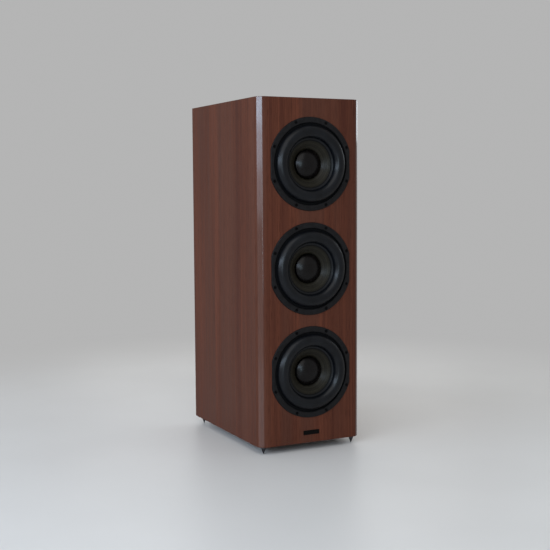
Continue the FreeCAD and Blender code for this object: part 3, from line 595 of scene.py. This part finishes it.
spider = {
    "inner": 25.85, "outer": 62.0, "first": 29.0, "wave": 7.0, "waves": 4, "height": 2.0,
    "back": 36.6, "wall": 0.6, "waveSteps": 97, "steps": 120, "bend": (57.0, 28.0),
}


def coneFace(start, stop, lift, count):
    # The face is part of a circle: slope s lies at centre - (R + lift) (sin s, cos s),
    # with R = run / (sin of the last slope - sin of the first). Start and stop are radii.
    first, last = np.sin(np.radians(cone["slopes"]))
    curve = (cone["edge"][0] - cone["throat"]) / (last - first)
    centre = np.array(cone["edge"]) + curve * np.array([first, math.sqrt(1 - first ** 2)])
    slope = np.arcsin((centre[0] - np.linspace(start, stop, count)) / curve)
    return centre - (curve + lift) * np.stack([np.sin(slope), np.cos(slope)], axis=-1)


def surroundProfile():
    # Outer lip, half roll r = c + R cos t, depth = face - R sin t, inner lip on the cone,
    # then back along the inside, one wall further in.
    s = surround
    left = s["rollCentre"] - s["rollRadius"]
    right = s["rollCentre"] + s["rollRadius"]
    face, rim = s["face"], s["rim"]
    rollEnd = 180 - math.degrees(s["innerFillet"] / s["rollRadius"])
    rollRadii = (s["rollRadius"], -s["rollRadius"])
    roll = arcPoints((s["rollCentre"], face), rollRadii, 0, rollEnd, s["rollSteps"])
    outerFoot = softCorner((s["outer"], rim), (right, rim), (right, face), s["fillet"])
    outerEdge = softCorner(
        (s["outer"], s["seat"]), (s["outer"], rim), (right, rim), s["rimRound"], 4)
    lipBack = coneFace(s["inner"], cone["edge"][0], cone["glue"], 8)
    lipFront = coneFace(s["inner"], s["inner"], cone["glue"] + s["lipWall"], 1)[0]
    innerFoot = softCorner((left, face - s["rollRadius"]), (left, face), lipFront, s["innerFillet"])
    lipEnd = softCorner((left, face), lipFront, lipBack[0], s["lipRound"])
    hollow = s["rollRadius"] - s["wall"]
    inside = arcPoints((s["rollCentre"], face), (hollow, -hollow), 180, 0, s["hollowSteps"])
    return stack(
        (s["outer"], s["seat"]), outerEdge, outerFoot, roll[:-1], innerFoot, lipEnd,
        lipBack, (left + s["wall"], lipBack[-1][1]), inside,
        (right - s["wall"], s["seat"]), (s["outer"], s["seat"]),
    )


def coneProfile():
    # curved front face from the edge to the throat, groove and neck, then the back one wall behind
    c = cone
    wall = c["wall"]
    neckRadius, neckDepth = c["neck"]
    face = coneFace(c["edge"][0], c["throat"], 0, c["faceSteps"])
    back = coneFace(c["edge"][0], c["throat"], -wall, c["backSteps"])[::-1]
    throat = softCorner(face[-2], face[-1], c["grooveOut"], c["throatRound"])
    groove = softCorner(c["grooveOut"], c["grooveIn"], c["neck"], c["grooveRound"])
    return stack(
        face[:-1], throat, c["grooveOut"], groove, c["neck"], (neckRadius, c["end"]),
        (neckRadius + wall, c["end"]), (neckRadius + wall, neckDepth + wall),
        (c["grooveIn"][0] + wall / 2, c["grooveIn"][1] + wall),
        (c["grooveOut"][0] + wall, c["grooveIn"][1]),
        back, face[0],
    )


def domeArc(radius, height, count):
    # from the pole to the rim on a sphere of radius (r^2 + h^2) / 2h
    sphere = (radius ** 2 + height ** 2) / (2 * height)
    reach = math.degrees(math.asin(radius / sphere))
    centre = (0, cap["base"] - height + sphere)
    return arcPoints(centre, (sphere, -sphere), 90, 90 - reach, count)


def capProfile():
    # a shallow dome, the skirt that stands in the cone's groove, and the same again inside
    c = cap
    inner = c["radius"] - c["wall"]
    outside = domeArc(c["radius"], c["height"], c["outsideSteps"])
    inside = domeArc(inner, c["height"] - c["wall"], c["insideSteps"])[::-1]
    return stack(outside, (c["radius"], c["rim"]), (inner, c["rim"]), inside)


def spiderProfile():
    # corrugated disc: depth = back - h sin(2 pi (r - first) / wave), and again one wall in front
    s = spider
    radius = np.linspace(s["first"], s["first"] + s["wave"] * s["waves"], s["waveSteps"])
    wave = s["height"] * np.sin(2 * np.pi * (radius - s["first"]) / s["wave"])
    back = np.stack([radius, s["back"] - wave], axis=-1)
    front = back - (0, s["wall"])
    frontDepth = s["back"] - s["wall"]
    return stack(
        (s["inner"], frontDepth), front, (s["outer"], frontDepth),
        (s["outer"], s["back"]), back[::-1], (s["inner"], s["back"]), (s["inner"], frontDepth),
    )


def bendBetweenRims(piece, driver, fixed, moving):
    # Bakes the piece's place into its points and works out each point's distance from the woofer's
    # axis; no weights are set and the piece is not bent.
    # The fixed and moving radii are not used.
    z = driverZ[driver]
    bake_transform(piece)
    points = np.zeros(len(piece.data.vertices) * 3)
    piece.data.vertices.foreach_get("co", points)
    points = points.reshape(-1, 3)
    radius = np.hypot(points[:, 0], points[:, 2] - z) / mm


for driver in driverNames:
    place = (0, frontY, driverZ[driver])
    body = "cone_" + driver + "_body"
    ring = turned(surroundProfile(), place, surround["steps"])
    made = buildPiece("rubberSurround_" + driver, [ring])
    dress(made, "rubber")
    bendBetweenRims(made, driver, *surround["bend"])
    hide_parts("surround_" + driver)
    made = buildPiece("spunCone_" + driver, [turned(coneProfile(), place, cone["steps"])])
    dress(made, "cone")
    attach(made, body)
    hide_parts("cone_" + driver)
    made = buildPiece("capDome_" + driver, [turned(capProfile(), place, cap["steps"])])
    dress(made, "cap")
    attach(made, body)
    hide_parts("dust_cap_" + driver)
    disc = turned(spiderProfile(), place, spider["steps"])
    made = buildPiece("wovenSpider_" + driver, [disc])
    dress(made, "weave")
    bendBetweenRims(made, driver, *spider["bend"])
    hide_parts("spider_" + driver)
print("woofers made")

# distances along the port count backwards from the rear board
port = {
    "bore": 36.0, "outside": 39.0, "flare": 12.0, "plate": 3.0, "flange": 56.0,
    "collar": (43.5, -7.0), "shoulder": -12.0, "end": -150.0, "edge": 1.5, "endRound": 0.8,
    "flareSteps": 24, "steps": 160,
}


def portProfile():
    # flange, collar and tube outside, then the bore and its flare, a quarter circle
    c = port
    centre = (c["bore"] + c["flare"], c["plate"] - c["flare"])
    mouth = arcPoints(centre, (c["flare"], c["flare"]), 180, 90, c["flareSteps"])
    face = (c["bore"], c["plate"])
    rim = softCorner(face, (c["flange"], c["plate"]), (c["flange"], 0), c["edge"])
    bore = (c["bore"], c["end"])
    tail = softCorner((c["outside"], 0), (c["outside"], c["end"]), bore, c["endRound"])
    return stack(
        (c["flange"], 0), (c["collar"][0], 0), c["collar"], (c["outside"], c["shoulder"]), tail,
        bore, mouth, rim, (c["flange"], 0),
    )


portZ = sum(corner.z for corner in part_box("port_tube")) / 2
made = buildPiece("flaredPort", [turned(portProfile(), (0, rearY, portZ), port["steps"])])
dress(made, "blackPlastic")
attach(made, "cabinet")
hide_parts("port_tube")

# dish: depth of the hollow in the outer end, and how far from the bore it starts and stops rising
# collarSteps: from the collar groove's start, where its floor begins and ends and it is out again
knob = {
    "bore": 3.65, "radius": 8.5, "front": 4.0, "back": 22.4, "edge": 0.8,
    "flutes": 12, "fluteDepth": 0.8, "flutePower": 3, "fluteSteps": 20,
    "dish": (0.4, 1.6, 2.0), "collar": 19.4, "collarRadius": 7.9, "collarSteps": (0.4, 1.2, 1.6),
}


def knobGrid(place):
    # Each ring of the turned profile is drawn in along the flutes by
    # depth (1/2 + 1/2 cos(flutes a))^power, fading out towards the middle of the end faces.
    k = knob
    bore, radius, collar = k["bore"], k["radius"], k["collar"]
    front, back = k["front"], k["back"]
    hollow, dishFloor, dishRim = k["dish"]
    floorStart, floorEnd, grooveEnd = k["collarSteps"]
    rim = softCorner((bore, front), (radius, front), (radius, back), k["edge"])
    profile = stack(
        (bore, front + hollow), (bore + dishFloor, front + hollow), (bore + dishRim, front), rim,
        (radius, collar), (k["collarRadius"], collar + floorStart),
        (k["collarRadius"], collar + floorEnd), (radius, collar + grooveEnd),
        (radius, back), (bore, back), (bore, front + hollow),
    )
    angle = np.linspace(0, 2 * np.pi, k["flutes"] * k["fluteSteps"] + 1)
    flute = (0.5 + 0.5 * np.cos(k["flutes"] * angle)) ** k["flutePower"] * k["fluteDepth"]
    fluted = bore + dishRim
    share = np.clip((profile[:, :1] - fluted) / (k["collarRadius"] - fluted), 0, 1)
    return swept(profile[:, :1] - share * flute, 0 * flute - profile[:, 1:], place)


for sign, colour in (("positive", "redPlastic"), ("negative", "glossBlack")):
    low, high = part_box("post_knob_" + sign)
    place = ((low.x + high.x) / 2, rearY, (low.z + high.z) / 2)
    made = buildPiece("flutedKnob_" + sign, [knobGrid(place)])
    dress(made, colour)
    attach(made, "post_knob_" + sign + "_body")
    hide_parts("post_knob_" + sign)

spike = {
    "tip": 0.6, "top": 6.0, "height": 14.3, "edge": 0.5, "round": 0.4, "marks": 40,
    "markDepth": 0.03, "stud": 4.0, "length": 13.0, "pitch": 1.25, "thread": 0.6,
    "threadSteps": 105, "steps": 72, "crease": 50,
}


def spikeGrid(place):
    # A turned cone under a threaded stud. The thread is one wave wound along the stud:
    # radius = stud - depth (1/2 + 1/2 cos(2 pi height / pitch - angle)), shallow at both ends.
    s = spike
    base, end = s["height"], s["height"] + s["length"]
    shoulder = (s["top"], base)
    tip = softCorner((0, 0), (s["tip"], 0), shoulder, s["round"])
    rim = softCorner((s["tip"], 0), (s["top"], base - s["edge"]), shoulder, s["round"])
    marks = np.linspace(tip[-1], rim[0], s["marks"])
    marks[1:-1:2, 0] -= s["markDepth"]
    foot = stack((0, 0), tip[:-1], marks, rim[1:], shoulder, (s["stud"] - s["thread"], base))
    height = np.linspace(base, end, s["threadSteps"])[:, None]
    angle = np.linspace(0, 2 * np.pi, s["steps"] + 1)
    wave = 0.5 + 0.5 * np.cos(2 * np.pi * height / s["pitch"] - angle)
    ends = np.clip(np.minimum(height - base, end - height) / s["pitch"], 0, 1)
    radius = s["stud"] - s["thread"] * (1 - ends * (1 - wave))
    rows = np.concatenate([foot[:, :1] + 0 * angle, radius, 0 * radius[:1]])
    heights = np.concatenate([foot[:, 1:], height, height[-1:]]) + 0 * angle
    return swept(rows, heights, place, True)


lockNut = {
    "acrossFlats": 13.0, "bore": 4.05, "height": 3.95, "chamferStart": 6.15,
    "chamferHeight": 0.8, "chamferSteps": 9, "steps": 144, "crease": 25,
}


def nutGrid(place):
    # Hexagon radius = half the flats / cos(angle from the middle of a flat), cut at both ends by
    # a 30 degree cone: radius <= start + distance from the end / tan 30.
    n = lockNut
    angle = np.linspace(0, 2 * np.pi, n["steps"] + 1)
    flat = angle % (np.pi / 3) - np.pi / 6
    hexagon = n["acrossFlats"] / 2 / np.cos(flat)
    fromEnd = np.linspace(0, n["chamferHeight"], n["chamferSteps"])
    height = np.concatenate([fromEnd, n["height"] - fromEnd[::-1]])[:, None]
    nearest = np.minimum(height, n["height"] - height)
    sides = np.minimum(hexagon, n["chamferStart"] + nearest * math.sqrt(3))
    bore = n["bore"] + 0 * hexagon[None]
    rows = np.concatenate([bore, sides, bore, bore])
    heights = np.concatenate([height[:1], height, height[-1:], height[:1]]) + 0 * hexagon
    return swept(rows, heights, place, True)


spikePlaces = {}
for corner in ("front_left", "front_right", "rear_left", "rear_right"):
    low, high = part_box("spike_" + corner)
    spikePlaces[corner] = ((low.x + high.x) / 2, (low.y + high.y) / 2, low.z)
    made = buildPiece("turnedSpike_" + corner, [spikeGrid(spikePlaces[corner])], spike["crease"])
    dress(made, "spikeSteel")
    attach(made, "spike_" + corner + "_body")
    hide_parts("spike_" + corner)
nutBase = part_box("spike_lock_nuts")[0].z
nuts = [nutGrid((x, y, nutBase)) for x, y, _ in spikePlaces.values()]
made = buildPiece("lockNuts", nuts, lockNut["crease"])
dress(made, "spikeSteel")
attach(made, "cabinet")
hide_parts("spike_lock_nuts")

# eased: how much of the bevel its rounded middle takes
plate = {"corner": 1.0, "bevel": 0.35, "eased": 0.3, "cornerSteps": 7, "crease": 20}


def plateGrid(low, high):
    # Rounded rectangles one inside the other, from the middle of the back round the edge to the
    # middle of the front; inset k moves every side in by k and shrinks the corners with it.
    half = np.array([high.x - low.x, high.z - low.z]) / 2 / mm
    thick = (high.y - low.y) / mm
    bevel = plate["bevel"]
    eased = bevel * plate["eased"]
    quarter = np.radians(np.linspace(0, 90, plate["cornerSteps"]))
    turns = [(np.cos(quarter + k * np.pi / 2), np.sin(quarter + k * np.pi / 2)) for k in range(4)]
    signs = ((1, 1), (-1, 1), (-1, -1), (1, -1))
    rings = [(half[1], thick), (0, thick), (0, bevel), (eased, eased), (bevel, 0), (half[1], 0)]
    rows = []
    for inset, depth in rings:
        corner = max(plate["corner"] - inset, 0)
        middle = half - inset - corner
        x = np.concatenate([s[0] * middle[0] + corner * c for s, (c, _) in zip(signs, turns)])
        z = np.concatenate([s[1] * middle[1] + corner * c for s, (_, c) in zip(signs, turns)])
        ring = np.stack([x, depth + 0 * x, z], axis=-1)
        rows.append(np.concatenate([ring, ring[:1]]))
    centre = ((low.x + high.x) / 2, low.y, (low.z + high.z) / 2)
    return np.array(rows) * mm + np.array(centre)


made = buildPiece("bevelledBadge", [plateGrid(*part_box("badge_plate"))], plate["crease"])
dress(made, "badge")
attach(made, "cabinet")
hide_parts("badge_plate")
print("port, knobs, spikes and badge made")

# metres and degrees, but the lens and the sensor in millimetres; surround is the brightness of
# the open space round the speaker, and shadowRadius is where the floor fades into it
studio = {
    "surround": 0.46, "shadowRadius": (0.9, 1.9),
    "floor": (210, 208, 205), "floorDrift": 3, "floorRoughness": (0.4, 0.45), "floorGloss": 0.25,
    "floorSize": 14.0, "floorLines": 29,
    "lens": 66.64, "sensor": 36.0, "farthest": 100.0,
    "camera": (-1.1512, -2.3146, 0.6289), "heading": 26.466, "tip": -4.876, "roll": -0.323,
}
# name, place and aim in metres, width, height, brightness where 1 is white, colour
softboxes = [
    ("sideTop", (-2.13, -0.82, 1.13), (0, -0.02, 1.13), 3.5, 0.42, 8.2, (0.64, 0.8, 1.0)),
    ("sideMiddle", (-2.13, -0.82, 0.82), (0, -0.02, 0.82), 3.5, 0.2, 3.8, (0.7, 0.82, 1.0)),
    ("sideLow", (-2.13, -0.82, 0.61), (0, -0.02, 0.61), 3.5, 0.22, 1.3, (0.85, 0.88, 1.0)),
    ("keyBox", (-1.5, -1.8, 2.8), (0, 0, 0.5), 2.8, 2.8, 1.15, (1.0, 0.98, 0.97)),
    ("frontStrip", (-1.42, -2.7, 0.75), (0, 0, 0.6), 0.36, 1.3, 7.5, (0.68, 0.88, 1.0)),
    ("rearFill", (1.3, 2.7, 1.7), (0, 0.2, 0.5), 2.2, 2.2, 1.0, (1.0, 0.99, 0.98)),
    ("rimStrip", (2.1, 0.62, 1.14), (0, 0, 1.14), 1.3, 0.6, 3.2, (0.82, 0.92, 1.0)),
]


def seenRay(f):
    # 1 for rays that come from the camera, a mirror-like surface or glass
    names = ("Is Camera Ray", "Is Glossy Ray", "Is Transmission Ray")
    camera, glossy, through = (f.add("ShaderNodeLightPath", {}, {}, name) for name in names)
    highest = {"operation": "MAXIMUM"}
    either = f.add("ShaderNodeMath", highest, {0: camera, 1: glossy})
    return f.add("ShaderNodeMath", highest, {0: either, 1: through})


def makeFloor():
    # A level sheet: lit and shadowed near the speaker, fading into the pale surround further out.
    size, lines = studio["floorSize"], studio["floorLines"]
    side = np.linspace(-size, size, lines)
    x, y = np.meshgrid(side, side)
    grid = np.stack([x, y, 0 * x], axis=-1)
    mesh = bpy.data.meshes.new("studioFloor")
    mesh.from_pydata(grid.reshape(-1, 3).tolist(), [], gridFaces(lines, lines, 0).tolist())
    floor = bpy.data.objects.new("studioFloor", mesh)
    bpy.context.scene.collection.objects.link(floor)
    f = Finish("paleFloor", {"Specular IOR Level": studio["floorGloss"]})
    clouds = f.noise(f.place, 2.0, 3.0)
    tone = studio["floor"]
    darker = tuple(part - studio["floorDrift"] for part in tone)
    colour = f.tint(f.remap(clouds, wideSpan), rgb(*tone), rgb(*darker))
    rough = f.remap(clouds, wideSpan, studio["floorRoughness"])
    f.feed(f.shader.inputs["Base Color"], colour)
    f.feed(f.shader.inputs["Roughness"], rough)
    distance = f.add("ShaderNodeVectorMath", {"operation": "LENGTH"}, {0: f.place}, "Value")
    away = f.remap(distance, studio["shadowRadius"]) * seenRay(f)
    pale = f.add("ShaderNodeEmission", {}, {"Strength": studio["surround"]})
    lit = Wire(f, f.shader.outputs[0])
    mixed = f.add("ShaderNodeMixShader", {}, {0: away, 1: lit, 2: pale})
    f.tree.links.new(mixed.socket, f.tree.nodes["Material Output"].inputs["Surface"])
    mesh.materials.append(f.material)


def aim(place, target):
    # a frame whose -Z looks from place to target
    back = np.array(place, float) - np.array(target, float)
    back /= np.linalg.norm(back)
    right = np.cross((0, 0, 1), back)
    right /= np.linalg.norm(right)
    return facing(place, right, np.cross(back, right), back)


def facing(place, right, up, back):
    # the frame with these three axes as its X, Y and Z
    columns = np.eye(4)
    columns[:3] = np.stack([right, up, back, place], axis=-1)
    return Matrix(columns.tolist())


def makeSoftbox(name, place, target, width, height, brightness, colour):
    light = bpy.data.lights.new(name, "AREA")
    light.shape = "RECTANGLE"
    light.size, light.size_y = width, height
    # watts for that brightness: an even sheet sends out pi times its brightness times its area
    light.energy = brightness * math.pi * width * height
    light.color = colour
    lamp = bpy.data.objects.new(name, light)
    bpy.context.scene.collection.objects.link(lamp)
    lamp.matrix_world = aim(place, target)
    lamp.visible_camera = False


def makeWorld():
    world = bpy.data.worlds.new("studioWorld")
    world.use_nodes = True
    bpy.context.scene.world = world
    shine = world.node_tree.nodes["Background"].inputs
    shine["Color"].default_value = (1, 1, 1, 1)
    shine["Strength"].default_value = studio["surround"]


def makeCamera():
    # heading turns the view from +Y towards +X, tip lifts it and roll turns it about its own line
    turn, tip, roll = (math.radians(studio[key]) for key in ("heading", "tip", "roll"))
    level = np.array([math.sin(turn), math.cos(turn), 0])
    ahead = math.cos(tip) * level + (0, 0, math.sin(tip))
    right = np.array([math.cos(turn), -math.sin(turn), 0])
    up = np.cross(right, ahead)
    rolledRight = math.cos(roll) * right + math.sin(roll) * up
    rolledUp = math.cos(roll) * up - math.sin(roll) * right
    data = bpy.data.cameras.new("studioCamera")
    data.lens = studio["lens"]
    data.sensor_width = studio["sensor"]
    data.clip_end = studio["farthest"]
    camera = bpy.data.objects.new("studioCamera", data)
    bpy.context.scene.collection.objects.link(camera)
    camera.matrix_world = facing(studio["camera"], rolledRight, rolledUp, -ahead)
    bpy.context.scene.camera = camera


makeFloor()
for softbox in softboxes:
    makeSoftbox(*softbox)
makeWorld()
makeCamera()
bpy.context.scene.view_settings.view_transform = "Standard"
print("studio made")
